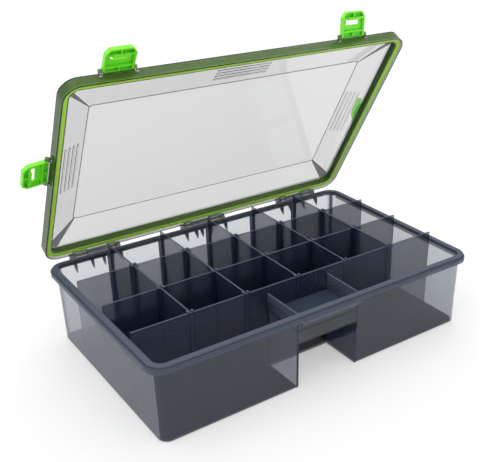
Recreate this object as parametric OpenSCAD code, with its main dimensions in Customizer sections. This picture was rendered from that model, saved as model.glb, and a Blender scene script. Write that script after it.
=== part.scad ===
// Waterproof lure box: a deep tray with long partitions and removable short dividers, a clear
// hinged lid with a soft seal, and four snap latches.
// Origin: centre of the flat underside. X runs along the long side, Y towards the hinges, Z up.
// The lid and the latches are drawn shut, then swung open to the pose that the box stands in.

/* [Tray] */
// Length over the rim lip
box_l = 362; // [320:1:420]
// Depth over the rim lip, from front to hinges
box_d = 230; // [200:1:270]
// Height from the table to the rim
tray_h = 79.5; // [70:0.5:95]
// Thickness of the outer walls
wall = 1.65; // [1.3:0.05:2]
// Thickness of the floor
floor_t = 2; // [1.5:0.1:3]
// How much further out each wall stands at the rim than at the table
flare_w = 1; // [0.2:0.1:1.6]
// Corner radius of the outer wall at the rim
corner_r = 10.5; // [9:0.5:16]
// Bevel along the bottom edge
foot_bevel = 1.2; // [0.5:0.1:1.5]

/* [Rim] */
// How far the lip stands out from the wall
lip_reach = 5.65; // [5.2:0.05:8]
// Height of the lip, from its lower edge up to the rim
lip_h = 6.8; // [6:0.1:9]
// Thickness of the lip and of the rim plate
lip_t = 1.5; // [1:0.1:1.7]
// Step down from the rim to the ledge under the lid's skirt
ledge_drop = 2.5; // [1.5:0.1:3]

/* [Compartments] */
// Number of columns in the three rear rows
columns = 6; // [4:1:8]
// Distance between the long partitions, and from the rear wall to the first
row_pitch = 56.1; // [48:0.1:60]
// How far the partitions and dividers stand above the rim
partition_rise = 7; // [3:0.5:7.2]
// Thickness of the long partitions
partition_t = 1.6; // [1.2:0.1:2]
// Thickness of the short dividers
divider_t = 1.6; // [1.2:0.1:2]
// Bevel on the lower corners of a divider
divider_bevel = 2; // [0.5:0.1:4]
// Width of one guide rib
rib_w = 2.4; // [1.5:0.1:3]
// How far a guide rib stands out from its wall
rib_out = 2.4; // [1.5:0.1:3]
// How far the guide ribs stand above the partitions
rib_rise = 1; // [0.5:0.1:2]

/* [Grip notch] */
// Width of the notch in the front, which is also the width of the small tray above it
notch_w = 68.4; // [60:0.2:90]
// Height of the small tray's floor above the table
small_tray_z = 62; // [55:0.5:68]
// Height of the lower edge of the grip strip above the table
strip_z = 47.7; // [40:0.1:52]
// How far the lip reaches lower over the notch
grip_lip_h = 3; // [1:0.1:5]

/* [Lid] */
// Thickness of the lid's roof and bevels
lid_t = 1.6; // [1.2:0.1:2]
// Height of the flange's underside above the rim
flange_h = 7.6; // [7.5:0.1:12]
// Rise from the flange to the raised panel
panel_rise = 8.1; // [5:0.1:12]
// Width of the flange from the inner skirt to the foot of the bevel
flange_in = 0.8; // [0.6:0.1:6]
// Width of the bevel at the sides
bevel_side_w = 25.2; // [15:0.1:30]
// Width of the bevel at the front
bevel_front_w = 33.8; // [20:0.1:38]
// Width of the bevel at the rear
bevel_rear_w = 28.2; // [20:0.1:35]
// Corner radius of the bevel's foot
bevel_corner = 8; // [4:0.5:9]
// Corner radius of the raised panel
panel_corner = 3.5; // [1:0.5:4]
// Thickness of the skirt outside the seal
skirt_t = 1.3; // [1:0.05:1.5]
// Thickness of the skirt inside the seal
inner_skirt_t = 1.4; // [1:0.1:1.8]
// Width of the seal
seal_w = 4.4; // [3.5:0.1:5]
// Bevel along the flange's top edge
flange_bevel = 0.8; // [0.3:0.1:1]
// Length of the grip ribs on the front and side bevels
grip_rib_l = 58; // [30:1:80]
// Width of a grip rib
grip_rib_w = 1.6; // [0.8:0.1:2]
// How far a grip rib stands up from its bevel
grip_rib_h = 0.7; // [0.3:0.1:0.8]
// Distance between neighbouring grip ribs
grip_rib_pitch = 4.3; // [2.5:0.1:4.5]
// Number of grip ribs on each side bevel
side_ribs = 4; // [2:1:4]
// Number of grip ribs on the front bevel
front_ribs = 4; // [2:1:5]
// Distance from the foot of a side bevel to the middle of its grip ribs
side_rib_up = 13.1; // [12:0.1:15]
// Distance from the foot of the front bevel to the middle of its grip ribs
front_rib_up = 19.4; // [16:0.1:21]

/* [Hinges] */
// Distance from the middle of an outer hinge to the end of the lip
hinge_end = 54; // [40:1:70]
// Width of a hinge
hinge_w = 54; // [46:0.5:60]
// Radius of the knuckles
knuckle_r = 3; // [2.5:0.1:3.2]
// Radius of the steel pins
hinge_pin_r = 1.2; // [0.8:0.1:1.5]
// Distance of the pin's axis behind the lip
hinge_out = 4.6; // [4.5:0.1:6]
// Distance of the pin's axis below the rim
hinge_drop = 0.75; // [0.5:0.05:1.2]
// Height of the gussets under a hinge, from the rim to their tips
gusset_h = 14.2; // [10:0.1:20]
// Thickness of a gusset
gusset_t = 1.6; // [1:0.1:2.5]

/* [Latches] */
// Distance from the middle of the front left latch to the left end of the lip
front_left_end = 49.6; // [40:0.1:90]
// Distance from the middle of the front right latch to the right end of the lip
front_right_end = 67; // [40:0.1:90]
// Distance of the left latch from the middle of its side, towards the front
left_latch_ahead = 9.5; // [-20:0.5:20]
// Distance of the right latch from the middle of its side, towards the rear
right_latch_back = 10; // [-20:0.5:20]
// Width of a latch
latch_w = 27.5; // [24:0.5:32]
// Width of a latch across its tip, between the cut corners
latch_tip_w = 19.5; // [16:0.5:23]
// Length of the cut corners at a latch's tip
tip_cut_l = 5; // [3:0.1:6]
// Length of a latch from its pivot to its free end
latch_l = 22.8; // [22.6:0.1:30]
// Depth of a latch from its outer face to its rims
latch_depth = 3.8; // [3.8:0.1:6]
// Thickness of a latch's outer skin
latch_skin = 1.4; // [1.2:0.1:1.8]
// Width of a latch's side rims
latch_rim = 2; // [1.5:0.1:2.5]
// Height of the pivot above the rim
latch_up = 8.4; // [8.4:0.1:11]
// Thickness of the hook bar, along the latch
hook_t = 2.2; // [1.8:0.1:3]
// How far the hook reaches in from the latch's rims
hook_in = 1.8; // [1:0.1:2]
// Length of the slot above the hook bar, across the latch
slot_l = 16; // [10:0.1:18]
// Height of the slot above the hook bar
slot_h = 5; // [4:0.1:5.5]
// Distance between the slot and the hook bar
slot_up = 0.4; // [0.2:0.1:1]
// Distance from the pivot's axis to the cross rib inside a latch
cross_down = 4.2; // [3.4:0.1:5]
// Radius of the trunnions that a latch turns on
trunnion_r = 1.2; // [1:0.1:1.4]
// Thickness of a lug
lug_t = 2.4; // [2:0.1:3]
// Width over both lugs with their buttresses
lug_span = 37; // [37:0.5:44]

/* [Pose] */
// Angle by which the lid is open
lid_angle = 59.45; // [0:0.05:115]
// Angle by which the front left latch is open
front_left_angle = 88; // [0:1:180]
// Angle by which the front right latch is open
front_right_angle = 118; // [0:1:180]
// Angle by which the left latch is open
left_angle = 83; // [0:1:180]
// Angle by which the right latch is open
right_angle = 156; // [0:1:180]

/* [Fits] */
// Clearance between the lid's skirt and the tray's rim, sideways
skirt_gap = 0.5; // [0.4:0.05:0.8]
// Clearance between the closed lid and the tray, upright
lid_gap = 0.3; // [0.2:0.05:0.5]
// Clearance between the inner skirt and the rim
inner_skirt_gap = 0.9; // [0.3:0.1:1.5]
// Clearance on each face of a divider in its guide
guide_gap = 0.3; // [0.2:0.05:0.5]
// Clearance at each end of a divider
end_gap = 0.4; // [0.3:0.05:0.7]
// Clearance under a divider
foot_gap = 0.1; // [0.05:0.05:0.3]
// Clearance on each side of the seal in its groove
seal_gap = 0.1; // [0.05:0.05:0.2]
// Clearance along the axis between neighbouring knuckles, and beside a latch
side_gap = 0.35; // [0.3:0.05:0.5]
// Running clearance of the pins and trunnions, on the radius
bore_gap = 0.05; // [0.03:0.01:0.08]
// Clearance between a shut latch and the lip
latch_gap = 0.5; // [0.35:0.05:0.8]

/* [Hidden] */
$fn = 72;
corner_sides = 32;
rows = 3;
over = 0.5;
divider_names = [
    for (row = [1 : rows])
        for (column = [1 : columns - 1])
            str("divider_", row, "_", column)
];

smoke = [0.27, 0.31, 0.37, 0.75];
smoke_light = [0.36, 0.40, 0.46, 0.7];
clear = [0.86, 0.87, 0.88, 0.45];
lime = "#a8d433";
green = "#5fe01c";
steel = "#b8bcc0";

// Tray: the wall's outer face and the cavity at the rim
wall_l = box_l - 2 * lip_reach;
wall_d = box_d - 2 * lip_reach;
in_l = wall_l - 2 * wall;
in_d = wall_d - 2 * wall;
lip_r = corner_r + lip_reach;
ledge_w = skirt_t + skirt_gap;
top_z = tray_h + partition_rise;
column_pitch = in_l / columns;
slot_w = divider_t + 2 * guide_gap;
notch_back = row_y(rows) - partition_t / 2;

// Hinge axis, and the knuckles as shares of half the hinge's width, counted outwards
hinge_pitch = box_l / 2 - hinge_end;
hinge_y = box_d / 2 + hinge_out;
hinge_z = tray_h - hinge_drop;
tray_knuckle_shares = [[-1, -0.83], [-0.32, 0.54], [0.83, 1]];
lid_knuckle_shares = [[-0.83, -0.32], [0.54, 0.83]];
gusset_shares = [-0.915, -0.25, 0.21, 0.47, 0.915];

// Lid: the plan of its seal, skirts and bevel
skirt_drop = ledge_drop - lid_gap;
seal_in = skirt_t + seal_gap;
inner_skirt_in = seal_in + seal_w + seal_gap;
roof_z = tray_h + flange_h;
roof_top = roof_z + lid_t;
bevel_in = inner_skirt_in + inner_skirt_t + flange_in;
bevel_l = box_l - 2 * bevel_in;
bevel_d = box_d - 2 * bevel_in;
panel_l = bevel_l - 2 * bevel_side_w;
panel_d = bevel_d - bevel_front_w - bevel_rear_w;
panel_mid_y = (bevel_front_w - bevel_rear_w) / 2;
bevel_steps = 5;

// Latches: the pivot's place from the skirt's face, and the hook from the pivot
latch_half = latch_depth / 2;
latch_out = latch_half + latch_gap;
hook_u = latch_up + lip_h + lid_gap;
front_yaw = -90;
left_yaw = 180;
right_yaw = 0;
front_left_place = [front_left_end - box_l / 2, -box_d / 2, front_yaw];
front_right_place = [box_l / 2 - front_right_end, -box_d / 2, front_yaw];
left_place = [-box_l / 2, -left_latch_ahead, left_yaw];
right_place = [box_l / 2, right_latch_back, right_yaw];
left_inward = 0;
right_inward = 180;
front_inward = 90;
lug_size_share = 1.1;
tangent_share = 0.7;

function lean_at(z) = flare_w * (1 - z / tray_h);
function rear_y(z) = in_d / 2 - lean_at(min(z, tray_h));
function row_y(row) = in_d / 2 - row_pitch * row;
function column_x(column) = column_pitch * (column - columns / 2);
function guide_x(column, side) = column_x(column) + side * (slot_w + rib_w) / 2;

// A rectangle with round corners
module rounded_plan(l, d, r) {
    square([l - 2 * r, d], center = true);
    square([l, d - 2 * r], center = true);
    for (x = [-1, 1])
        for (y = [-1, 1])
            translate([x * (l / 2 - r), y * (d / 2 - r)])
                circle(r);
}

// A block with round corners whose top edge is cut back by bevel over the same height
module bevelled_block(l, d, r, z1, bevel) {
    z0 = z1 - bevel;
    corner_x = l / 2 - r;
    corner_y = d / 2 - r;
    half_l = l / 2;
    half_d = d / 2;
    rotate([90, 0, 0])
        linear_extrude(2 * corner_y, center = true)
            polygon([[-half_l, z0], [half_l, z0], [half_l - bevel, z1], [bevel - half_l, z1]]);
    rotate([90, 0, 90])
        linear_extrude(2 * corner_x, center = true)
            polygon([[-half_d, z0], [half_d, z0], [half_d - bevel, z1], [bevel - half_d, z1]]);
    for (x = [-corner_x, corner_x])
        for (y = [-corner_y, corner_y])
            translate([x, y, z0])
                cylinder(h = bevel, r1 = r, r2 = r - bevel);
}

// The leaning body of the tray between two heights, set in all round by inset
module tray_block(z0, z1, inset, edge = 0) {
    hull()
        for (x = [-1, 1])
            for (y = [-1, 1])
                translate([x * (wall_l / 2 - corner_r), y * (wall_d / 2 - corner_r), z0])
                    cylinder(
                        h = z1 - z0,
                        r1 = corner_r - inset - lean_at(z0) - edge,
                        r2 = corner_r - inset - lean_at(z1),
                        $fn = corner_sides
                    );
}

// A block as wide as the lip, set in all round by inset
module lip_block(z0, z1, inset) {
    translate([0, 0, z0])
        linear_extrude(z1 - z0)
            rounded_plan(box_l - 2 * inset, box_d - 2 * inset, lip_r - inset);
}

// A flat bar across the tray, given by its middle in X and its ends in Y and Z
module bar(x, w, y0, y1, z0, z1) {
    translate([x - w / 2, y0, z0])
        cube([w, y1 - y0, z1 - z0]);
}

// The two ribs that guide one end of a divider on a partition. They are rooted in its middle.
module guide(column, y, way) {
    tip = y + way * (partition_t / 2 + rib_out);
    for (side = [-1, 1])
        bar(guide_x(column, side), rib_w, min(y, tip), max(y, tip), floor_t, top_z + rib_rise);
}

module tub() {
    color(smoke)
        difference() {
            union() {
                tray_shell();
                notch_walls();
                rear_guides();
                for (place = [-1, 0, 1])
                    tray_hinge(place);
            }
            for (place = [-1, 0, 1])
                pin_bore(place);
        }
}

// Floor, four walls and the hollow lip, with the notch cut out of the floor and the front
module tray_shell() {
    ledge_z = tray_h - ledge_drop;
    lip_z = tray_h - lip_h;
    difference() {
        union() {
            tray_block(0, foot_bevel, 0, foot_bevel);
            tray_block(foot_bevel, tray_h, 0);
            difference() {
                lip_block(lip_z, ledge_z, 0);
                lip_block(lip_z - over, ledge_z - lip_t, lip_t);
            }
            difference() {
                lip_block(ledge_z - lip_t, tray_h, ledge_w);
                lip_block(ledge_z - lip_t - over, tray_h - lip_t, ledge_w + lip_t);
            }
            bar(0, notch_w, -box_d / 2, -box_d / 2 + lip_t, lip_z - grip_lip_h, lip_z + lip_t);
        }
        tray_block(floor_t, tray_h + over, wall);
        bar(0, notch_w, -box_d / 2 + lip_reach - over, notch_back, -over, floor_t + over);
        bar(0, notch_w, -box_d / 2 - over, notch_back, -over, strip_z);
    }
}

// The walls round the notch, which also carry the small tray's floor
module notch_walls() {
    front = -wall_d / 2;
    span = notch_w + 2 * wall;
    intersection() {
        union() {
            for (side = [-1, 1])
                bar(side * (notch_w + wall) / 2, wall, front, notch_back, 0, tray_h);
            bar(0, span, notch_back - wall, notch_back, 0, small_tray_z);
            bar(0, span, front, notch_back, small_tray_z - floor_t, small_tray_z);
        }
        tray_block(0, tray_h, wall / 2);
    }
}

// The guides on the rear wall lean with it. They are rooted in the middle of the wall and floor.
module rear_guides() {
    foot_z = floor_t / 2;
    for (column = [1 : columns - 1])
        for (side = [-1, 1])
            translate([guide_x(column, side) - rib_w / 2, 0, 0])
                rotate([90, 0, 90])
                    linear_extrude(rib_w)
                        polygon([
                            [rear_y(foot_z) - rib_out, foot_z],
                            [rear_y(foot_z) + wall / 2, foot_z],
                            [rear_y(tray_h) + wall / 2, tray_h],
                            [rear_y(tray_h) - rib_out, tray_h]
                        ]);
}

// Outline of a hinge's foot under the lip, and of one gusset, seen along the pin
module tray_hinge(place) {
    lip_y = box_d / 2;
    lip_z = tray_h - lip_h;
    half_w = hinge_w / 2;
    for (share = tray_knuckle_shares)
        knuckle(place, share[0], share[1])
            polygon([
                [lip_y - lip_t, lip_z],
                [lip_y, lip_z],
                [hinge_y, hinge_z - knuckle_r],
                [hinge_y, hinge_z],
                [hinge_y - knuckle_r, hinge_z],
                [lip_y, tray_h - ledge_drop - lid_gap],
                [lip_y - lip_t, tray_h - ledge_drop - lid_gap]
            ]);
    for (share = gusset_shares)
        translate([hinge_x(place) + hinge_way(place) * share * half_w - gusset_t / 2, 0, 0])
            rotate([90, 0, 90])
                linear_extrude(gusset_t)
                    polygon([
                        [wall_d / 2 - wall / 2, tray_h - gusset_h],
                        [wall_d / 2 - lean_at(tray_h - gusset_h), tray_h - gusset_h],
                        [hinge_y + knuckle_r / 2, hinge_z - knuckle_r / 2],
                        [hinge_y, hinge_z - knuckle_r / 2],
                        [lip_y, lip_z + lip_t],
                        [wall_d / 2 - wall / 2, lip_z + lip_t]
                    ]);
}

function hinge_x(place) = place * hinge_pitch;
function hinge_way(place) = place < 0 ? 1 : -1;

// One knuckle and the foot that carries it. The foot's outline is the child.
module knuckle(place, share0, share1) {
    way = hinge_way(place);
    x0 = way * share0 * hinge_w / 2;
    x1 = way * share1 * hinge_w / 2;
    at_end0 = abs(share0) < 1 ? side_gap / 2 : 0;
    at_end1 = abs(share1) < 1 ? side_gap / 2 : 0;
    low = min(x0, x1) + (way > 0 ? at_end0 : at_end1);
    high = max(x0, x1) - (way > 0 ? at_end1 : at_end0);
    translate([hinge_x(place) + low, 0, 0])
        rotate([90, 0, 90])
            linear_extrude(high - low) {
                translate([hinge_y, hinge_z])
                    circle(knuckle_r);
                children();
            }
}

module pin_bore(place) {
    translate([hinge_x(place) - hinge_w / 2 - over, hinge_y, hinge_z])
        rotate([0, 90, 0])
            cylinder(h = hinge_w + 2 * over, r = hinge_pin_r + bore_gap);
}

module hinge_pin(place) {
    color(steel)
        translate([hinge_x(place) - hinge_w / 2, hinge_y, hinge_z])
            rotate([0, 90, 0])
                cylinder(h = hinge_w, r = hinge_pin_r);
}

// A long partition. Below the rim it meets the leaning end walls, above it its ends are upright.
module partition(row, front_guides = true) {
    y = row_y(row);
    half = partition_t / 2;
    color(smoke_light) {
        intersection() {
            bar(0, in_l, y - half, y + half, floor_t, tray_h);
            tray_block(floor_t, tray_h, wall);
        }
        bar(0, in_l - 2 * end_gap, y - half, y + half, tray_h - over, top_z);
        for (column = [1 : columns - 1]) {
            guide(column, y, 1);
            if (front_guides)
                guide(column, y, -1);
        }
    }
}

// A short divider that lifts out of its guides. The rearmost ones lean with the rear wall.
module divider(row, column) {
    z0 = floor_t + foot_gap;
    y0 = row_y(row) + partition_t / 2 + end_gap;
    rear_low = row == 1 ? rear_y(z0) : row_y(row - 1) - partition_t / 2;
    rear_high = row == 1 ? rear_y(tray_h) : rear_low;
    color(smoke_light)
        translate([column_x(column) - divider_t / 2, 0, 0])
            rotate([90, 0, 90])
                linear_extrude(divider_t)
                    polygon([
                        [y0 + divider_bevel, z0],
                        [rear_low - end_gap - divider_bevel, z0],
                        [rear_low - end_gap, z0 + divider_bevel],
                        [rear_high - end_gap, tray_h],
                        [rear_high - end_gap, top_z],
                        [y0, top_z],
                        [y0, z0 + divider_bevel]
                    ]);
}

// Turns what is drawn on the shut lid about the hinge pins to the lid's opening angle
module swing() {
    translate([0, hinge_y, hinge_z])
        rotate([-lid_angle, 0, 0])
            translate([0, -hinge_y, -hinge_z])
                children();
}

// Points of a rectangle with round corners, at height z and with its middle at y
function rounded_ring(l, d, r, y, z) = [
    for (quarter = [0 : 3])
        for (step = [0 : bevel_steps])
            let (
                turn = 90 * (quarter + step / bevel_steps),
                way_x = quarter == 0 || quarter == 3 ? 1 : -1,
                way_y = quarter < 2 ? 1 : -1
            )
            [way_x * (l / 2 - r) + r * cos(turn), y + way_y * (d / 2 - r) + r * sin(turn), z]
];

// A raised block with sloping sides and round corners, from its foot up to the panel.
// Its upright foot reaches down by root, into what it stands on.
module bevel_block(z0, z1, root) {
    n = 4 * (bevel_steps + 1);
    polyhedron(
        concat(
            rounded_ring(bevel_l, bevel_d, bevel_corner, 0, z0 - root),
            rounded_ring(bevel_l, bevel_d, bevel_corner, 0, z0),
            rounded_ring(panel_l, panel_d, panel_corner, panel_mid_y, z1)
        ),
        concat(
            [[for (i = [0 : n - 1]) i], [for (i = [1 : n]) 3 * n - i]],
            [
                for (k = [0, n])
                    for (i = [0 : n - 1])
                        [(i + 1) % n + k, i + k, i + k + n, (i + 1) % n + k + n]
            ]
        )
    );
}

module lid() {
    color(clear)
        swing()
            difference() {
                union() {
                    lid_shell();
                    for (place = [-1, 0, 1])
                        lid_hinge(place);
                    lid_lugs();
                }
                for (place = [-1, 0, 1])
                    pin_bore(place);
            }
}

// Flange, skirts and the raised panel with its bevels
module lid_shell() {
    edge_z = roof_top - flange_bevel;
    difference() {
        union() {
            lip_block(tray_h - skirt_drop, edge_z, 0);
            bevelled_block(box_l, box_d, lip_r, roof_top, flange_bevel);
            lip_block(roof_z, roof_top, flange_bevel);
            bevel_block(roof_top, roof_top + panel_rise, lid_t / 2);
        }
        lip_block(tray_h - skirt_drop - over, roof_z, skirt_t);
        bevel_block(roof_z, roof_z + panel_rise, over);
    }
    difference() {
        lip_block(tray_h + inner_skirt_gap, roof_z + lid_t / 2, inner_skirt_in);
        lip_block(tray_h, roof_top, inner_skirt_in + inner_skirt_t);
    }
    for (side = [-1, 1])
        translate([side * bevel_l / 2, 0, 0])
            rotate([0, 0, side < 0 ? left_inward : right_inward])
                bevel_ribs(bevel_side_w, side_rib_up, side_ribs);
    translate([0, -bevel_d / 2, 0])
        rotate([0, 0, front_inward])
            bevel_ribs(bevel_front_w, front_rib_up, front_ribs);
}

// Low ribs on a bevel of width w, which rises along X from its foot at zero. Their middle is at mid.
module bevel_ribs(w, mid, count) {
    for (i = [0 : count - 1])
        let (x = mid + (i - (count - 1) / 2) * grip_rib_pitch)
            translate([x, 0, roof_top + panel_rise * x / w])
                rotate([0, -atan(panel_rise / w), 0])
                    translate([-grip_rib_w / 2, -grip_rib_l / 2, -lid_t / 2])
                        cube([grip_rib_w, grip_rib_l, lid_t / 2 + grip_rib_h]);
}

module lid_hinge(place) {
    skirt_y = box_d / 2;
    for (share = lid_knuckle_shares)
        knuckle(place, share[0], share[1])
            polygon([
                [skirt_y - skirt_t / 2, tray_h - skirt_drop / 2],
                [skirt_y, tray_h - skirt_drop / 2],
                [hinge_y - knuckle_r, hinge_z],
                [hinge_y, hinge_z],
                [hinge_y, hinge_z + knuckle_r],
                [skirt_y, roof_z - lid_t],
                [skirt_y - skirt_t / 2, roof_z - lid_t]
            ]);
}

// Puts a latch, drawn on the side that faces +X, at its place round the lid
module at_latch(place) {
    translate([place[0], place[1], tray_h])
        rotate([0, 0, place[2]])
            translate([latch_out, 0, latch_up])
                children();
}

module lid_lugs() {
    for (place = [front_left_place, front_right_place, left_place, right_place])
        at_latch(place)
            lug_pair();
}

// The two lugs that hold a latch, seen from its pivot
module lug_pair() {
    lug_in = latch_w / 2 + side_gap;
    bore_end = lug_in + lug_t - lid_gap;
    roof = flange_h + lid_t - latch_up;
    root = latch_up - flange_h + 2 * lid_t;
    lug_mid = lug_in + lug_t / 2;
    skirt_mid = -latch_out - skirt_t / 2;
    lug_r = lug_size_share * latch_half;
    for (side = [-1, 1])
        mirror([0, side < 0 ? 1 : 0, 0])
            difference() {
                union() {
                    translate([0, lug_in + lug_t, 0])
                        rotate([90, 0, 0])
                            linear_extrude(lug_t) {
                                circle(lug_r);
                                polygon([
                                    [skirt_mid, roof - lid_t],
                                    [skirt_mid, -root],
                                    [-latch_out, -root],
                                    [tangent_share * lug_r, -tangent_share * lug_r],
                                    [-tangent_share * lug_r, tangent_share * lug_r]
                                ]);
                            }
                    translate([0, 0, -root])
                        linear_extrude(root + roof - lid_t)
                            polygon([
                                [skirt_mid, lug_mid],
                                [0, lug_mid],
                                [-latch_out, lug_span / 2],
                                [skirt_mid, lug_span / 2]
                            ]);
                }
                rotate([-90, 0, 0])
                    cylinder(h = bore_end, r = trunnion_r + bore_gap);
            }
}

module lid_seal() {
    color(lime)
        swing()
            difference() {
                lip_block(tray_h + lid_gap, roof_z, seal_in);
                lip_block(tray_h, roof_z + over, seal_in + seal_w);
            }
}

// Half of a latch's width at distance u from its pivot
function latch_half_w(u) =
    latch_w / 2 - max(0, u - latch_l + tip_cut_l) * (latch_w - latch_tip_w) / 2 / tip_cut_l;

// Plan of a latch from its pivot to its free end, along X
module latch_plan() {
    polygon([
        [0, -latch_w / 2],
        [latch_l - tip_cut_l, -latch_w / 2],
        [latch_l, -latch_tip_w / 2],
        [latch_l, latch_tip_w / 2],
        [latch_l - tip_cut_l, latch_w / 2],
        [0, latch_w / 2]
    ]);
}

// Pockets in a latch's inner face, between two distances from the pivot, on both sides of a rib
module pockets(u0, u1, middle_rib) {
    for (side = [-1, 1])
        translate([-latch_half - over, 0, 0])
            rotate([0, 90, 0])
                linear_extrude(latch_depth - latch_skin + over)
                    polygon([
                        [u0, side * middle_rib / 2],
                        [u0, side * (latch_half_w(u0) - latch_rim)],
                        [u1, side * (latch_half_w(u1) - latch_rim)],
                        [u1, side * middle_rib / 2]
                    ]);
}

// A latch hanging shut from its pivot, outer face towards +X
module latch_body() {
    hook_end = hook_u + hook_t;
    cross_half = latch_skin / 2;
    slot_end = hook_u - slot_up;
    difference() {
        union() {
            translate([-latch_half, 0, 0])
                rotate([0, 90, 0])
                    linear_extrude(latch_depth)
                        latch_plan();
            rotate([90, 0, 0])
                cylinder(h = latch_w, r = latch_half, center = true);
        }
        pockets(latch_skin - latch_half, cross_down - cross_half, latch_skin);
        translate([-latch_half - over, latch_rim - latch_w / 2, -hook_u])
            cube([latch_depth - latch_skin + over, latch_w - 2 * latch_rim, hook_u - cross_down - cross_half]);
        pockets(hook_end, latch_l - latch_skin, latch_skin);
        translate([0, -slot_l / 2, -slot_end])
            cube([latch_depth, slot_l, slot_h]);
    }
    translate([-latch_half - hook_in, -slot_l / 2, -hook_end])
        cube([hook_in + latch_skin / 2, slot_l, hook_t]);
    for (side = [-1, 1])
        rotate([side * 90, 0, 0])
            translate([0, 0, latch_w / 2 - latch_rim])
                cylinder(h = latch_rim + side_gap + lug_t - 2 * lid_gap, r = trunnion_r);
}

module latch(place, angle) {
    color(green)
        swing()
            at_latch(place)
                rotate([0, -angle, 0])
                    latch_body();
}

tub();
partition(1);  // partition_rear
partition(2);  // partition_middle
partition(3, false);  // partition_front
for (row = [1 : rows])
    for (column = [1 : columns - 1])
        divider(row, column);
lid();
lid_seal();
hinge_pin(-1);  // hinge_pin_left
hinge_pin(0);  // hinge_pin_middle
hinge_pin(1);  // hinge_pin_right
latch(front_left_place, front_left_angle);  // latch_front_left
latch(front_right_place, front_right_angle);  // latch_front_right
latch(left_place, left_angle);  // latch_left
latch(right_place, right_angle);  // latch_right
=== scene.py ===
"""Looks of a deep waterproof lure box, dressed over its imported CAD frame.

The tray, its partitions and its dividers are smoke-tinted polypropylene, the lid is a paler,
nearly clear moulding, the seal is lime silicone and the latches are bright green. Lengths are in
metres.
"""

import logging
import math
from dataclasses import dataclass
from enum import Enum
from typing import Any

import bmesh
import bpy
from mathutils import Matrix, Vector


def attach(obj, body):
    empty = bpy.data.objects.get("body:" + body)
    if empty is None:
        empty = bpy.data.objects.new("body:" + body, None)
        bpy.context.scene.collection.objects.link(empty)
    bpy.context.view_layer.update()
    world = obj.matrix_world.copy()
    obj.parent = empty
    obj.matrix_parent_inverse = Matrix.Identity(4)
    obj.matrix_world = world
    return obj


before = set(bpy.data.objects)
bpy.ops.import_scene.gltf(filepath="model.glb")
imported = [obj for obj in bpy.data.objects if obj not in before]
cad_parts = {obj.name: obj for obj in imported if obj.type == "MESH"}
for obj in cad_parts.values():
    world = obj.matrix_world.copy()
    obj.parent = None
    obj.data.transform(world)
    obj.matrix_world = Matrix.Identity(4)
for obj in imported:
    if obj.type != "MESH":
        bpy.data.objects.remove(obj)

LOG = logging.getLogger("lure_box")
MM = 0.001
# The angle by which the lid stands open, and its hinge's axis in Y and Z
LID_OPEN = math.radians(59.45)
HINGE = (119.6 * MM, 78.75 * MM)
# Looking through every wall of the box takes many steps
LIGHT_STEPS = 40


class Slot(Enum):
    """The record's material slot for the lid. Nothing in the script uses it."""

    LID = "lid_plastic"


class Body(Enum):
    """The moving body that new pieces ride on."""

    LID = "lid"


class Corner(Enum):
    """The lid's corners, as the directions in X and Y in which they lie."""

    FRONT_LEFT = (-1, -1)
    FRONT_RIGHT = (1, -1)
    REAR_LEFT = (-1, 1)
    REAR_RIGHT = (1, 1)


def linear(code: str) -> tuple[float, float, float, float]:
    """Turn an sRGB hex code into Blender's linear colour.

    Args:
        code: The colour as "#rrggbb".

    Returns:
        Red, green, blue and alpha, linear.
    """
    channels = [int(code[i:i + 2], 16) / 255 for i in (1, 3, 5)]
    red, green, blue = [
        c / 12.92 if c <= 0.04045 else ((c + 0.055) / 1.055) ** 2.4 for c in channels
    ]
    return red, green, blue, 1.0


def add_node(
    tree: bpy.types.NodeTree,
    kind: str,
    settings: dict[str, Any] | None = None,
    values: dict[str | int, Any] | None = None,
    links: dict[str | int, bpy.types.NodeSocket] | None = None,
) -> bpy.types.Node:
    """Add one node to a tree.

    Args:
        tree: The tree that gets the node.
        kind: The node's type name.
        settings: Properties of the node itself.
        values: Values for its input sockets, by name or index.
        links: Output sockets to link to its input sockets, by name or index.

    Returns:
        The new node.
    """
    node = tree.nodes.new(kind)
    for name, value in (settings or {}).items():
        setattr(node, name, value)
    for name, value in (values or {}).items():
        node.inputs[name].default_value = value
    for name, socket in (links or {}).items():
        tree.links.new(socket, node.inputs[name])
    return node


def new_material(name: str) -> bpy.types.Material:
    """Make an empty material with a node tree.

    Args:
        name: The finish's name.

    Returns:
        The material, with no nodes in it yet.
    """
    material = bpy.data.materials.new(name)
    material.use_nodes = True
    material.node_tree.nodes.clear()
    return material


def wave_height(tree: bpy.types.NodeTree, pitch: float, detail: float) -> bpy.types.NodeSocket:
    """Add soft noise on the object itself, for a moulded surface that isn't quite flat.

    Args:
        tree: The material's tree.
        pitch: The size of one swell.
        detail: How many finer layers the noise has.

    Returns:
        The noise's socket.
    """
    place = add_node(tree, "ShaderNodeTexCoord")
    noise = add_node(
        tree,
        "ShaderNodeTexNoise",
        values={"Scale": 1 / pitch, "Detail": detail},
        links={"Vector": place.outputs["Object"]},
    )
    return noise.outputs["Fac"]


def step(
    tree: bpy.types.NodeTree, place: bpy.types.NodeSocket, at: float, before: float, after: float
) -> bpy.types.NodeSocket:
    """Add a value that changes over the last millimetre before a plane.

    Args:
        tree: The material's tree.
        place: The coordinate across the plane.
        at: Where the plane lies.
        before: The value in front of it.
        after: The value behind it.

    Returns:
        The value's socket.
    """
    ramp = add_node(
        tree,
        "ShaderNodeMapRange",
        values={"From Min": at - MM, "From Max": at, "To Min": before, "To Max": after},
        links={"Value": place},
    )
    return ramp.outputs["Result"]


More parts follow.
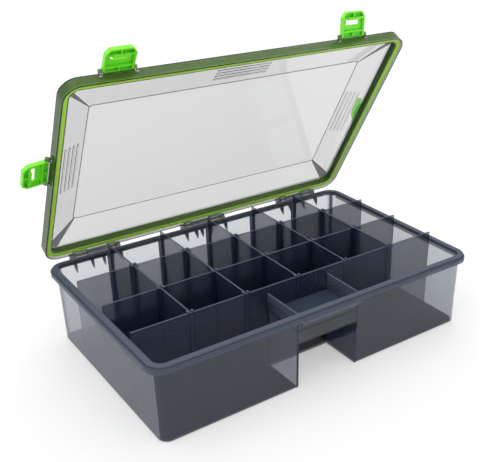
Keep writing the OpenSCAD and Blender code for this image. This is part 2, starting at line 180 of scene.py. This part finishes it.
@dataclass(frozen=True)
class RearWall:
    """The ribs on the tray's leaning rear wall, the hinges behind it and the lip round the rim.

    Ribs, hinges and lip say how cloudy each of them looks, and so how much painted shade they
    show.
    The ribs' places are in Y, as at the rim, from which the wall leans in down to its foot. The
    hinges begin at a place in Y. The lip begins at a height in Z, and counts as far back as its
    place in Y.
    """

    leans: float = 1.0 * MM
    height: float = 79.5 * MM
    ribs_from: float = 105.2 * MM
    ribs_to: float = 106.9 * MM
    ribs: float = 0.85
    hinges_from: float = 115.8 * MM
    hinges: float = 0.2
    lip_from: float = 73.0 * MM
    lip_to: float = 100.0 * MM
    lip: float = 0.6

    def shares(
        self, tree: bpy.types.NodeTree, side: float, front: float, up: float
    ) -> dict[str | int, bpy.types.NodeSocket]:
        """Add the shares of the faces that look along X, Y and Z, with those of ribs and hinges.

        Args:
            tree: The material's tree.
            side: How cloudy the other faces along X are.
            front: How cloudy the other faces along Y are.
            up: How cloudy the other faces along Z are.

        Returns:
            The three sockets.
        """
        place = add_node(tree, "ShaderNodeTexCoord")
        parts = add_node(tree, "ShaderNodeSeparateXYZ", links={"Vector": place.outputs["Object"]})
        straightened = add_node(
            tree,
            "ShaderNodeVectorMath",
            settings={"operation": "DOT_PRODUCT"},
            values={1: (0.0, 1.0, -self.leans / self.height)},
            links={0: place.outputs["Object"]},
        )
        depth = straightened.outputs["Value"]
        first = self.ribs_from - self.leans
        last = self.ribs_to - self.leans
        rib_faces = add_node(
            tree,
            "ShaderNodeMath",
            settings={"operation": "MULTIPLY"},
            links={
                0: step(tree, depth, first, 0.0, self.ribs),
                1: step(tree, depth, last, 1.0, 0.0),
            },
        )
        fronts = add_node(
            tree,
            "ShaderNodeMath",
            settings={"operation": "MAXIMUM"},
            values={1: front},
            links={0: rib_faces.outputs["Value"]},
        )
        return {
            "X": step(tree, depth, first, side, self.ribs),
            "Y": fronts.outputs["Value"],
            "Z": step(tree, parts.outputs["Y"], self.hinges_from, up, self.hinges),
        }

    def with_lip(
        self, tree: bpy.types.NodeTree, share: bpy.types.NodeSocket
    ) -> bpy.types.NodeSocket:
        """Add the lip's share, on the front and the sides of the rim.

        Args:
            tree: The material's tree.
            share: How cloudy each face is without it.

        Returns:
            The greater share's socket.
        """
        place = add_node(tree, "ShaderNodeTexCoord")
        parts = add_node(tree, "ShaderNodeSeparateXYZ", links={"Vector": place.outputs["Object"]})
        lip = add_node(
            tree,
            "ShaderNodeMath",
            settings={"operation": "MULTIPLY"},
            links={
                0: step(tree, parts.outputs["Z"], self.lip_from, 0.0, self.lip),
                1: step(tree, parts.outputs["Y"], self.lip_to, 1.0, 0.0),
            },
        )
        both = add_node(
            tree,
            "ShaderNodeMath",
            settings={"operation": "MAXIMUM"},
            links={0: share, 1: lip.outputs["Value"]},
        )
        return both.outputs["Value"]


@dataclass(frozen=True)
class HazeAndPaintedShade:
    """How cloudy a clear moulding is, and the dark tint painted on there as shade.

    Side, front and up are the cloudiness of the faces that look along the body's own X, Y and Z,
    and turn is the angle about X by which the body stands in the scene. The tints are painted
    shade: over the heights of rise, level faces go from the tint low to high, and upright ones
    from wall to wall_high, darker towards the foot. The rear wall is for the piece that has one.
    """

    # The tints are painted shade: darker towards the foot, lighter at the rim
    low: str
    high: str
    wall: str
    wall_high: str
    side: float
    front: float
    up: float
    turn: float = 0.0
    rear: RearWall | None = None
    rise: tuple[float, float] = (50 * MM, 79 * MM)

    @classmethod
    def even(cls, tint: str, side: float, front: float, up: float, turn: float = 0.0) -> "HazeAndPaintedShade":
        """Return a haze with one tint on all faces."""
        return cls(tint, tint, tint, tint, side, front, up, turn)

    def squares(self, tree: bpy.types.NodeTree) -> bpy.types.NodeSocket:
        """Add the squares of the normal's parts, in the body's own axes. They add up to one.

        Args:
            tree: The material's tree.

        Returns:
            A vector socket.
        """
        place = add_node(tree, "ShaderNodeTexCoord")
        own = add_node(
            tree,
            "ShaderNodeVectorRotate",
            settings={"rotation_type": "X_AXIS"},
            values={"Angle": self.turn},
            links={"Vector": place.outputs["Normal"]},
        )
        squares = add_node(
            tree,
            "ShaderNodeVectorMath",
            settings={"operation": "MULTIPLY"},
            links={0: own.outputs["Vector"], 1: own.outputs["Vector"]},
        )
        return squares.outputs["Vector"]

    def share(self, tree: bpy.types.NodeTree) -> bpy.types.NodeSocket:
        """Add the nodes that give how cloudy each face is, and so how much painted shade it shows.

        Args:
            tree: The material's tree.

        Returns:
            A socket from 0, clear, to 1, cloudy.
        """
        shares = add_node(
            tree,
            "ShaderNodeCombineXYZ",
            values={"X": self.side, "Y": self.front, "Z": self.up},
            links=self.rear and self.rear.shares(tree, self.side, self.front, self.up),
        )
        share = add_node(
            tree,
            "ShaderNodeVectorMath",
            settings={"operation": "DOT_PRODUCT"},
            links={0: self.squares(tree), 1: shares.outputs["Vector"]},
        )
        if self.rear:
            return self.rear.with_lip(tree, share.outputs["Value"])
        return share.outputs["Value"]

    def tint(self, tree: bpy.types.NodeTree) -> bpy.types.NodeSocket:
        """Add the nodes that give the painted shade's tint at each height, darker towards the
        foot.

        Args:
            tree: The material's tree.

        Returns:
            A colour socket.
        """
        place = add_node(tree, "ShaderNodeTexCoord")
        parts = add_node(tree, "ShaderNodeSeparateXYZ", links={"Vector": place.outputs["Object"]})
        flat = add_node(tree, "ShaderNodeSeparateXYZ", links={"Vector": self.squares(tree)})
        height = add_node(
            tree,
            "ShaderNodeMapRange",
            values={"From Min": self.rise[0], "From Max": self.rise[1]},
            links={"Value": parts.outputs["Z"]},
        )
        level, upright = (
            add_node(
                tree,
                "ShaderNodeMix",
                settings={"data_type": "RGBA"},
                values={"A": linear(below), "B": linear(above)},
                links={"Factor": height.outputs["Result"]},
            ).outputs["Result"]
            for below, above in ((self.low, self.high), (self.wall, self.wall_high))
        )
        colour = add_node(
            tree,
            "ShaderNodeMix",
            settings={"data_type": "RGBA"},
            links={"Factor": flat.outputs["Z"], "A": upright, "B": level},
        )
        return colour.outputs["Result"]


@dataclass(frozen=True)
class TintedPolypropylene:
    """Translucent polypropylene, injection moulded: it darkens with every layer looked through."""

    name: str
    surface: str
    body: str
    density: float
    clearness: float
    roughness: float
    haze_and_shade: HazeAndPaintedShade
    gloss: float = 0.25
    ior: float = 1.38
    swell: float = 60 * MM
    swell_depth: float = 0.02 * MM
    swell_strength: float = 0.25
    cloudy_roughness: float = 0.45
    cloudy_gloss: float = 0.0

    def build(self) -> bpy.types.Material:
        """Make the material.

        Returns:
            A refracting shader with absorption inside and faint flow swells on its surface, mixed
            with a cloudy layer whose tint is painted shade.
        """
        material = new_material(self.name)
        tree = material.node_tree
        bump = add_node(
            tree,
            "ShaderNodeBump",
            values={"Strength": self.swell_strength, "Distance": self.swell_depth},
            links={"Height": wave_height(tree, self.swell, 1.0)},
        )
        clear = add_node(
            tree,
            "ShaderNodeBsdfPrincipled",
            values={
                "Base Color": linear(self.surface),
                "Roughness": self.roughness,
                "IOR": self.ior,
                "Specular IOR Level": self.gloss,
                "Transmission Weight": self.clearness,
            },
            links={"Normal": bump.outputs["Normal"]},
        )
        # The cloudy layer's colour is painted shade
        cloudy = add_node(
            tree,
            "ShaderNodeBsdfPrincipled",
            values={
                "Roughness": self.cloudy_roughness,
                "IOR": self.ior,
                "Specular IOR Level": self.cloudy_gloss,
            },
            links={"Base Color": self.haze_and_shade.tint(tree), "Normal": bump.outputs["Normal"]},
        )
        shader = add_node(
            tree,
            "ShaderNodeMixShader",
            links={0: self.haze_and_shade.share(tree), 1: clear.outputs["BSDF"], 2: cloudy.outputs["BSDF"]},
        )
        absorb = add_node(
            tree,
            "ShaderNodeVolumeAbsorption",
            values={"Color": linear(self.body), "Density": self.density},
        )
        add_node(
            tree,
            "ShaderNodeOutputMaterial",
            links={"Surface": shader.outputs["Shader"], "Volume": absorb.outputs["Volume"]},
        )
        return material


@dataclass(frozen=True)
class SolidPolymer:
    """An opaque moulded polymer with a little light let in under its surface, and shade painted
    into its hollows.
    """

    name: str
    colour: str
    shade: str
    # Painted shade: the colour that the hollows are darkened towards
    painted_shade_colour: str
    roughness: float
    depth: float
    ior: float = 1.46
    mottle: float = 9 * MM
    reach: float = 4 * MM
    painted_shade_rays: int = 8
    # The real grain is far finer than a pixel. It is drawn coarser, so that it breaks up the shine
    grain: float = 0.8 * MM
    grain_depth: float = 0.02 * MM
    grain_strength: float = 0.1
    soak: float = 1.5 * MM
    soak_colours: tuple[float, float, float] = (0.3, 1.0, 0.15)

    def build(self) -> bpy.types.Material:
        """Make the material.

        Returns:
            A shader whose colour drifts between two close shades, with shade painted darker into
            its hollows.
        """
        material = new_material(self.name)
        tree = material.node_tree
        colour = add_node(
            tree,
            "ShaderNodeMix",
            settings={"data_type": "RGBA"},
            values={"A": linear(self.shade), "B": linear(self.colour)},
            links={"Factor": wave_height(tree, self.mottle, 2.0)},
        )
        # Painted shade: the colour darkens where other faces of the part lie within reach
        painted_shade_mask = add_node(
            tree,
            "ShaderNodeAmbientOcclusion",
            settings={"only_local": True, "samples": self.painted_shade_rays},
            values={"Distance": self.reach},
        )
        with_painted_shade = add_node(
            tree,
            "ShaderNodeMix",
            settings={"data_type": "RGBA"},
            values={"A": linear(self.painted_shade_colour)},
            links={"Factor": painted_shade_mask.outputs["AO"], "B": colour.outputs["Result"]},
        )
        bump = add_node(
            tree,
            "ShaderNodeBump",
            values={"Strength": self.grain_strength, "Distance": self.grain_depth},
            links={"Height": wave_height(tree, self.grain, 2.0)},
        )
        shader = add_node(
            tree,
            "ShaderNodeBsdfPrincipled",
            values={
                "Roughness": self.roughness,
                "IOR": self.ior,
                "Subsurface Weight": self.depth,
                "Subsurface Radius": self.soak_colours,
                "Subsurface Scale": self.soak,
            },
            links={"Base Color": with_painted_shade.outputs["Result"], "Normal": bump.outputs["Normal"]},
        )
        add_node(tree, "ShaderNodeOutputMaterial", links={"Surface": shader.outputs["BSDF"]})
        return material


@dataclass(frozen=True)
class DrawnSteel:
    """Stainless rod, cold drawn: fine scratches run round its length and soften its shine."""

    name: str = "drawn stainless steel"
    colour: str = "#c8c9c7"
    roughness: float = 0.28
    # The real scratches are finer than a pixel. They are drawn as coarse as they need to show
    scratch_w: float = 0.4 * MM
    scratch_l: float = 6 * MM
    scratch_depth: float = 0.01 * MM
    scratch_strength: float = 0.2

    def build(self) -> bpy.types.Material:
        """Make the material.

        Returns:
            A metal shader with fine marks across the rod.
        """
        material = new_material(self.name)
        tree = material.node_tree
        place = add_node(tree, "ShaderNodeTexCoord")
        stretch = add_node(
            tree,
            "ShaderNodeMapping",
            values={"Scale": (1 / self.scratch_w, 1 / self.scratch_l, 1 / self.scratch_l)},
            links={"Vector": place.outputs["Object"]},
        )
        marks = add_node(
            tree,
            "ShaderNodeTexNoise",
            values={"Scale": 1.0},
            links={"Vector": stretch.outputs["Vector"]},
        )
        bump = add_node(
            tree,
            "ShaderNodeBump",
            values={"Strength": self.scratch_strength, "Distance": self.scratch_depth},
            links={"Height": marks.outputs["Fac"]},
        )
        shader = add_node(
            tree,
            "ShaderNodeBsdfPrincipled",
            values={
                "Base Color": linear(self.colour),
                "Metallic": 1.0,
                "Roughness": self.roughness,
            },
            links={"Normal": bump.outputs["Normal"]},
        )
        add_node(tree, "ShaderNodeOutputMaterial", links={"Surface": shader.outputs["BSDF"]})
        return material


@dataclass(frozen=True)
class StudioPaper:
    """Matt white background paper. It looks plain white, and keeps the box's shadow."""

    name: str = "white background paper"
    colour: str = "#cfcfcf"
    roughness: float = 0.9
    lift: float = 0.4

    def build(self) -> bpy.types.Material:
        """Make the material.

        Returns:
            A matt shader with a little light of its own where it is looked at or seen in gloss.
        """
        material = new_material(self.name)
        tree = material.node_tree
        paper = add_node(
            tree,
            "ShaderNodeBsdfPrincipled",
            values={"Base Color": linear(self.colour), "Roughness": self.roughness},
        )
        strength = add_node(
            tree,
            "ShaderNodeMath",
            settings={"operation": "MULTIPLY"},
            values={1: self.lift},
            links={0: seen_rays(tree)},
        )
        glow = add_node(
            tree, "ShaderNodeEmission", links={"Strength": strength.outputs["Value"]}
        )
        both = add_node(
            tree,
            "ShaderNodeAddShader",
            links={0: paper.outputs["BSDF"], 1: glow.outputs["Emission"]},
        )
        add_node(tree, "ShaderNodeOutputMaterial", links={"Surface": both.outputs["Shader"]})
        return material


def seen_rays(tree: bpy.types.NodeTree) -> bpy.types.NodeSocket:
    """Add the test for rays that look at the background, directly or through gloss or plastic.

    Args:
        tree: The tree that gets the nodes.

    Returns:
        A socket that is 1 on such rays and 0 on the rest.
    """
    path = add_node(tree, "ShaderNodeLightPath")
    seen = path.outputs["Is Camera Ray"]
    for ray in ("Is Glossy Ray", "Is Transmission Ray"):
        either = add_node(
            tree,
            "ShaderNodeMath",
            settings={"operation": "MAXIMUM"},
            links={0: seen, 1: path.outputs[ray]},
        )
        seen = either.outputs["Value"]
    return seen


def dress(names: list[str], material: bpy.types.Material) -> None:
    """Give CAD nodes one finish.

    Args:
        names: The nodes' names.
        material: The finish.
    """
    for name in names:
        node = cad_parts[name]
        node.data.materials.clear()
        node.data.materials.append(material)
        LOG.info("%s wears %s", name, material.name)


@dataclass
class Tray:
    """The tub, its three long partitions and the fifteen dividers that lift out."""

    partitions: tuple[str, ...] = ("partition_rear", "partition_middle", "partition_front")
    rows: int = 3
    dividers_in_row: int = 5
    # Level faces are nearly all cloudy, and show the dark painted shade
    level_shade_share: float = 0.95

    def dress(self) -> None:
        """Dress the tub and what stands in it."""
        # Smoke-tinted polypropylene, moulded: a single wall is clear enough to see the hinges
        # through. Floors, guide ribs and edges carry a dark tint painted on as shade, darker
        # towards the foot and lighter slate at the rim
        smoke = self.smoke(
            "smoke polypropylene",
            side=0.14,
            front=0.04,
            wall="#3f5688",
            wall_high="#606876",
            rear=RearWall(),
        )
        dress(["tub"], smoke)
        # The same plastic in the partitions, their faces painted dark navy as shade: they look
        # navy, and clearer against the background
        ribbed = self.smoke("ribbed smoke polypropylene", side=0.88, front=0.38)
        dress(list(self.partitions), ribbed)
        # The dividers are moulded apart from the same plastic, with the same painted navy shade
        loose = self.smoke("loose smoke polypropylene", side=0.38, front=0.85)
        dress(self.divider_names(), loose)

    def smoke(
        self,
        name: str,
        side: float,
        front: float,
        # The defaults paint upright faces dark navy, as shade
        wall: str = "#0d2346",
        wall_high: str = "#0f2649",
        rear: RearWall | None = None,
    ) -> bpy.types.Material:
        """Make the tray's plastic, with its faces cloudier in some directions than in others and a
        dark tint painted on them as shade.

        Args:
            name: The finish's name.
            side: How cloudy the faces to the left and right are.
            front: How cloudy the faces to the front and back are.
            wall: The painted shade's tint on upright faces at the foot.
            wall_high: Its tint at the rim.
            rear: The rear wall, on the piece that has one.

        Returns:
            The material.
        """
        haze_and_shade = HazeAndPaintedShade(
            # Painted shade: dark navy on the floors, light slate at the rim
            low="#0c1b36",
            high="#606876",
            wall=wall,
            wall_high=wall_high,
            side=side,
            front=front,
            up=self.level_shade_share,
            rear=rear,
        )
        return TintedPolypropylene(
            name=name,
            surface="#ffffff",
            body="#16507c",
            density=175.0,
            clearness=0.98,
            roughness=0.06,
            haze_and_shade=haze_and_shade,
            gloss=0.12,
        ).build()

    def divider_names(self) -> list[str]:
        """Return the names of all the dividers, rear row first."""
        return [
            f"divider_{row}_{column}"
            for row in range(1, self.rows + 1)
            for column in range(1, self.dividers_in_row + 1)
        ]


@dataclass(frozen=True)
class Outline:
    """A rectangle with round corners, level in the closed lid."""

    length: float
    depth: float
    radius: float
    middle: float
    height: float

    def corner(self, corner: Corner, share: float, spread: float) -> Vector:
        """Return a point on a corner's arc.

        Args:
            corner: Which corner.
            share: How far along the arc, from 0 on the end of the lid to 1 on its long side.
            spread: How far the point stands off the outline.

        Returns:
            The point in the closed lid.
        """
        x, y = corner.value
        turn = share * math.pi / 2
        reach = self.radius + spread
        return Vector(
            (
                x * (self.length / 2 - self.radius + reach * math.cos(turn)),
                self.middle + y * (self.depth / 2 - self.radius + reach * math.sin(turn)),
                self.height,
            )
        )

    def ring(self, spread: float, drop: float, steps: int = 8) -> list[Vector]:
        """Return the outline's points, counter-clockwise from the right end.

        Args:
            spread: How far they stand off the outline.
            drop: How far they lie below it.
            steps: How many pieces each arc has.

        Returns:
            The points in the closed lid.
        """
        order = (Corner.FRONT_RIGHT, Corner.REAR_RIGHT, Corner.REAR_LEFT, Corner.FRONT_LEFT)
        points = []
        for corner in order:
            shares = [i / steps for i in range(steps + 1)]
            if corner in (Corner.FRONT_RIGHT, Corner.REAR_LEFT):
                shares.reverse()
            points += [self.corner(corner, share, spread) for share in shares]
        return [point - Vector((0, 0, drop)) for point in points]


def opened(point: Vector) -> Vector:
    """Return where a point of the closed lid is in the scene, where the lid stands open."""
    hinge = Vector((0, *HINGE))
    return hinge + Matrix.Rotation(-LID_OPEN, 3, "X") @ (point - hinge)


def numbered(rows: list[list[Vector]]) -> tuple[list[Vector], list[list[int]]]:
    """Put rows of points into one list.

    Args:
        rows: The rows.

    Returns:
        The points, and the numbers that each row's points have there.
    """
    points: list[Vector] = []
    rings = []
    for row in rows:
        rings.append(list(range(len(points), len(points) + len(row))))
        points += row
    return points, rings


def skin(rings: list[list[int]], closed: bool) -> list[tuple[int, ...]]:
    """Return the faces between neighbouring rings of points.

    Args:
        rings: The numbers of each ring's points. The last ring joins the first.
        closed: Whether each ring's last point joins its first.

    Returns:
        The faces, each of four points.
    """
    faces = []
    for here, there in zip(rings, rings[1:] + rings[:1]):
        count = len(here)
        for i in range(count if closed else count - 1):
            k = (i + 1) % count
            faces.append((here[i], here[k], there[k], there[i]))
    return faces


def mesh_piece(
    name: str,
    points: list[Vector],
    faces: list[tuple[int, ...]],
    finish: bpy.types.Material,
) -> None:
    """Make a piece that rides on the lid.

    Args:
        name: The piece's name.
        points: Its points, in the closed lid.
        faces: Its faces, by the points' numbers.
        finish: Its material.
    """
    mesh = bpy.data.meshes.new(name)
    mesh.from_pydata([opened(point) for point in points], [], faces)
    solid = bmesh.new()
    solid.from_mesh(mesh)
    bmesh.ops.recalc_face_normals(solid, faces=solid.faces)
    solid.to_mesh(mesh)
    solid.free()
    mesh.materials.append(finish)
    piece = bpy.data.objects.new(name, mesh)
    bpy.context.scene.collection.objects.link(piece)
    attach(piece, Body.LID.value)
    LOG.info("%s wears %s", name, finish.name)


@dataclass
class PanelCreaseShade:
    """Painted shade at the lid's creases: a fine grey strip inside the panel's edge, and grey
    blades in its corners.
    """

    panel: Outline = Outline(
        length=295.4 * MM, depth=151.8 * MM, radius=3.5 * MM, middle=2.8 * MM, height=95.2 * MM
    )
    foot: Outline = Outline(
        length=345.8 * MM, depth=213.8 * MM, radius=8 * MM, middle=0.0, height=87.1 * MM
    )
    edge_strip_w: float = 0.9 * MM
    edge_strip_h: float = 0.35 * MM
    corner_strip_gap: float = 0.1 * MM
    corner_strip_t: float = 0.3 * MM
    corner_strip_narrowing: float = 0.3
    front_corner_strip_share: float = 0.45
    corner_strip_steps: int = 8

    def build(self) -> None:
        """Build the strips of painted crease shade."""
        # The same smoke plastic with a grey tint: painted shade that draws the creases and corner
        # facets as fine grey lines
        crease_shade = TintedPolypropylene(
            name="smoke polypropylene with painted crease shade",
            surface="#d6d8da",
            body="#3a3f44",
            density=350.0,
            clearness=0.9,
            roughness=0.15,
            haze_and_shade=HazeAndPaintedShade.even("#8b8e91", side=0.45, front=0.45, up=0.45),
        ).build()
        self.edge_shade_strip(crease_shade)
        for corner in Corner:
            self.corner_shade_strip(corner, crease_shade)

    def edge_shade_strip(self, finish: bpy.types.Material) -> None:
        """Build the strip inside the panel's edge: a low ridge with sloping flanks, painted shade
        along the crease.

        Args:
            finish: Its material.
        """
        half = self.edge_strip_w / 2
        section = [(half, 0.0), (half / 2, self.edge_strip_h), (-half / 2, self.edge_strip_h), (-half, 0.0)]
        points, rings = numbered([self.panel.ring(spread, drop) for spread, drop in section])
        mesh_piece("panel_edge_shade_strip", points, skin(rings, closed=True), finish)

    def corner_shade_strip(self, corner: Corner, finish: bpy.types.Material) -> None:
        """Build one corner's strip: a thin grey blade of painted shade on the corner facet, that
        narrows towards the panel.

        Args:
            corner: Which corner.
            finish: Its material.
        """
        upper = self.blade_edges(corner, self.corner_strip_gap)
        lower = self.blade_edges(corner, self.corner_strip_gap + self.corner_strip_t)
        points, rings = numbered([*upper, *reversed(lower)])
        faces = skin(rings, closed=False)
        for end in (0, -1):
            faces.append(tuple(ring[end] for ring in rings))
        mesh_piece("corner_shade_strip_" + corner.name.lower(), points, faces, finish)

    def blade_edges(self, corner: Corner, drop: float) -> tuple[list[Vector], list[Vector]]:
        """Return the edges of one face of a corner's strip.

        Args:
            corner: Which corner.
            drop: How far the face lies below the lid's own.

        Returns:
            The points at the foot of the bevel and those at the panel.
        """
        at_rear = corner in (Corner.REAR_LEFT, Corner.REAR_RIGHT)
        reach = 1.0 if at_rear else self.front_corner_strip_share
        below = Vector((0, 0, drop))
        foot = []
        panel = []
        for i in range(self.corner_strip_steps + 1):
            share = reach * i / self.corner_strip_steps
            narrow = 0.5 + (share - 0.5) * self.corner_strip_narrowing
            foot.append(self.foot.corner(corner, share, 0.0) - below)
            panel.append(self.panel.corner(corner, narrow, 0.0) - below)
        return foot, panel


@dataclass
class Lid:
    """The clear lid with its seal and the pins that it turns on."""

    pins: tuple[str, ...] = ("hinge_pin_left", "hinge_pin_middle", "hinge_pin_right")

    def dress(self) -> None:
        """Dress the lid, the seal and the pins."""
        # The same smoke plastic, moulded thin and glossy: one layer only greys the background, and
        # the lime seal shows through the skirts. The dark green tint on the skirts is painted
        # shade and painted reflection of the green seal and latches
        clear = TintedPolypropylene(
            name="thin smoke polypropylene",
            surface="#ffffff",
            body="#464b4e",
            density=150.0,
            clearness=0.98,
            roughness=0.05,
            # Painted shade and painted green reflection on the faces along X and Y
            haze_and_shade=HazeAndPaintedShade.even("#2c5522", side=0.4, front=0.3, up=0.02, turn=LID_OPEN),
        ).build()
        dress(["lid"], clear)
        PanelCreaseShade().build()
        # Lime silicone, moulded and matt, with painted shade darkening its hollows
        lime = SolidPolymer(
            name="lime silicone",
            colour="#c8ff58",
            shade="#beff4c",
            # Painted shade in the seal's hollows
            painted_shade_colour="#a4ec3c",
            roughness=0.5,
            depth=0.15,
        ).build()
        dress(["lid_seal"], lime)
        dress(list(self.pins), DrawnSteel().build())


@dataclass
class Latches:
    """The four snap latches, moulded in bright green."""

    names: tuple[str, ...] = ("latch_front_left", "latch_front_right", "latch_left", "latch_right")

    def dress(self) -> None:
        """Dress the latches."""
        # Bright green polypropylene, moulded and glossy, which light gets a little way into. Its
        # hollows are darkened with painted shade
        green = SolidPolymer(
            name="green polypropylene",
            colour="#9aff48",
            shade="#7cff30",
            # Painted shade in the latches' recesses
            painted_shade_colour="#20bc12",
            roughness=0.3,
            depth=0.3,
        ).build()
        dress(list(self.names), green)


@dataclass(frozen=True)
class SoftBox:
    """A square lamp that hangs over the box and points at it."""

    name: str
    place: tuple[float, float, float]
    side: float
    watts: float
    aim: tuple[float, float, float] = (0.0, 0.0, 0.1)

    def build(self) -> None:
        """Hang the lamp."""
        lamp = bpy.data.lights.new(self.name, "AREA")
        lamp.shape = "SQUARE"
        lamp.size = self.side
        lamp.energy = self.watts
        holder = bpy.data.objects.new(self.name, lamp)
        holder.location = self.place
        towards = Vector(self.aim) - Vector(self.place)
        holder.rotation_euler = towards.to_track_quat("-Z", "Y").to_euler()
        bpy.context.scene.collection.objects.link(holder)


@dataclass
class Studio:
    """Paper floor, soft lights and the camera at the photograph's viewing angle."""

    frame_px: tuple[float, float] = (480.0, 462.0)
    focal_px: float = 797.11
    centre_px: tuple[float, float] = (310.88, 263.29)
    sensor_mm: float = 36.0
    nearest: float = 10 * MM
    place: tuple[float, float, float] = (-0.39609, -0.60181, 0.43887)
    yaw: float = -37.24
    pitch: float = -26.79
    roll: float = 0.58
    floor_half: float = 12.0
    sky_light: float = 0.85
    sky_seen: float = 1.0
    lamps: tuple[SoftBox, ...] = (
        SoftBox("key light", place=(-0.9, -0.5, 2.0), side=2.2, watts=11.0),
        SoftBox("back light", place=(0.9, 1.4, 1.6), side=2.2, watts=8.0),
    )

    def build(self) -> None:
        """Build the floor, the background, the lights and the camera."""
        self.floor()
        self.background()
        for lamp in self.lamps:
            lamp.build()
        self.camera()

    def floor(self) -> None:
        """Lay the paper floor under the box."""
        half = self.floor_half
        mesh = bpy.data.meshes.new("paper floor")
        points = [(-half, -half, 0), (half, -half, 0), (half, half, 0), (-half, half, 0)]
        mesh.from_pydata(points, [], [(0, 1, 2, 3)])
        mesh.materials.append(StudioPaper().build())
        paper = bpy.data.objects.new("paper floor", mesh)
        bpy.context.scene.collection.objects.link(paper)

    def background(self) -> None:
        """Surround the scene with even light that looks plain white."""
        world = bpy.data.worlds.new("white studio")
        bpy.context.scene.world = world
        world.use_nodes = True
        tree = world.node_tree
        tree.nodes.clear()
        strength = add_node(
            tree,
            "ShaderNodeMapRange",
            values={"To Min": self.sky_light, "To Max": self.sky_seen},
            links={"Value": seen_rays(tree)},
        )
        sky = add_node(
            tree,
            "ShaderNodeBackground",
            values={"Color": linear("#ffffff")},
            links={"Strength": strength.outputs["Result"]},
        )
        add_node(tree, "ShaderNodeOutputWorld", links={"Surface": sky.outputs["Background"]})

    def camera(self) -> None:
        """Set the camera where the photograph was taken from."""
        width, height = self.frame_px
        yaw, pitch, roll = (math.radians(a) for a in (self.yaw, self.pitch, self.roll))
        ahead = Vector(
            (-math.sin(yaw) * math.cos(pitch), math.cos(yaw) * math.cos(pitch), math.sin(pitch))
        )
        level = ahead.cross(Vector((0, 0, 1))).normalized()
        over = level.cross(ahead)
        right = math.cos(roll) * level + math.sin(roll) * over
        up = math.cos(roll) * over - math.sin(roll) * level
        data = bpy.data.cameras.new("camera")
        data.sensor_width = self.sensor_mm
        data.lens = self.sensor_mm * self.focal_px / width
        data.shift_x = (width / 2 - self.centre_px[0]) / width
        data.shift_y = (self.centre_px[1] - height / 2) / width
        data.clip_start = self.nearest
        turn = Matrix((right, up, -ahead)).transposed().to_4x4()
        holder = bpy.data.objects.new("camera", data)
        holder.matrix_world = Matrix.Translation(self.place) @ turn
        bpy.context.scene.collection.objects.link(holder)
        bpy.context.scene.camera = holder


def main() -> None:
    """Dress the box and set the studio."""
    logging.basicConfig(level=logging.INFO, format="%(name)s: %(message)s")
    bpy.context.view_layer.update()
    scene = bpy.context.scene
    scene.view_settings.view_transform = "Standard"
    scene.cycles.max_bounces = LIGHT_STEPS
    scene.cycles.transmission_bounces = LIGHT_STEPS
    Tray().dress()
    Lid().dress()
    Latches().dress()
    Studio().build()


if __name__ == "__main__":
    main()
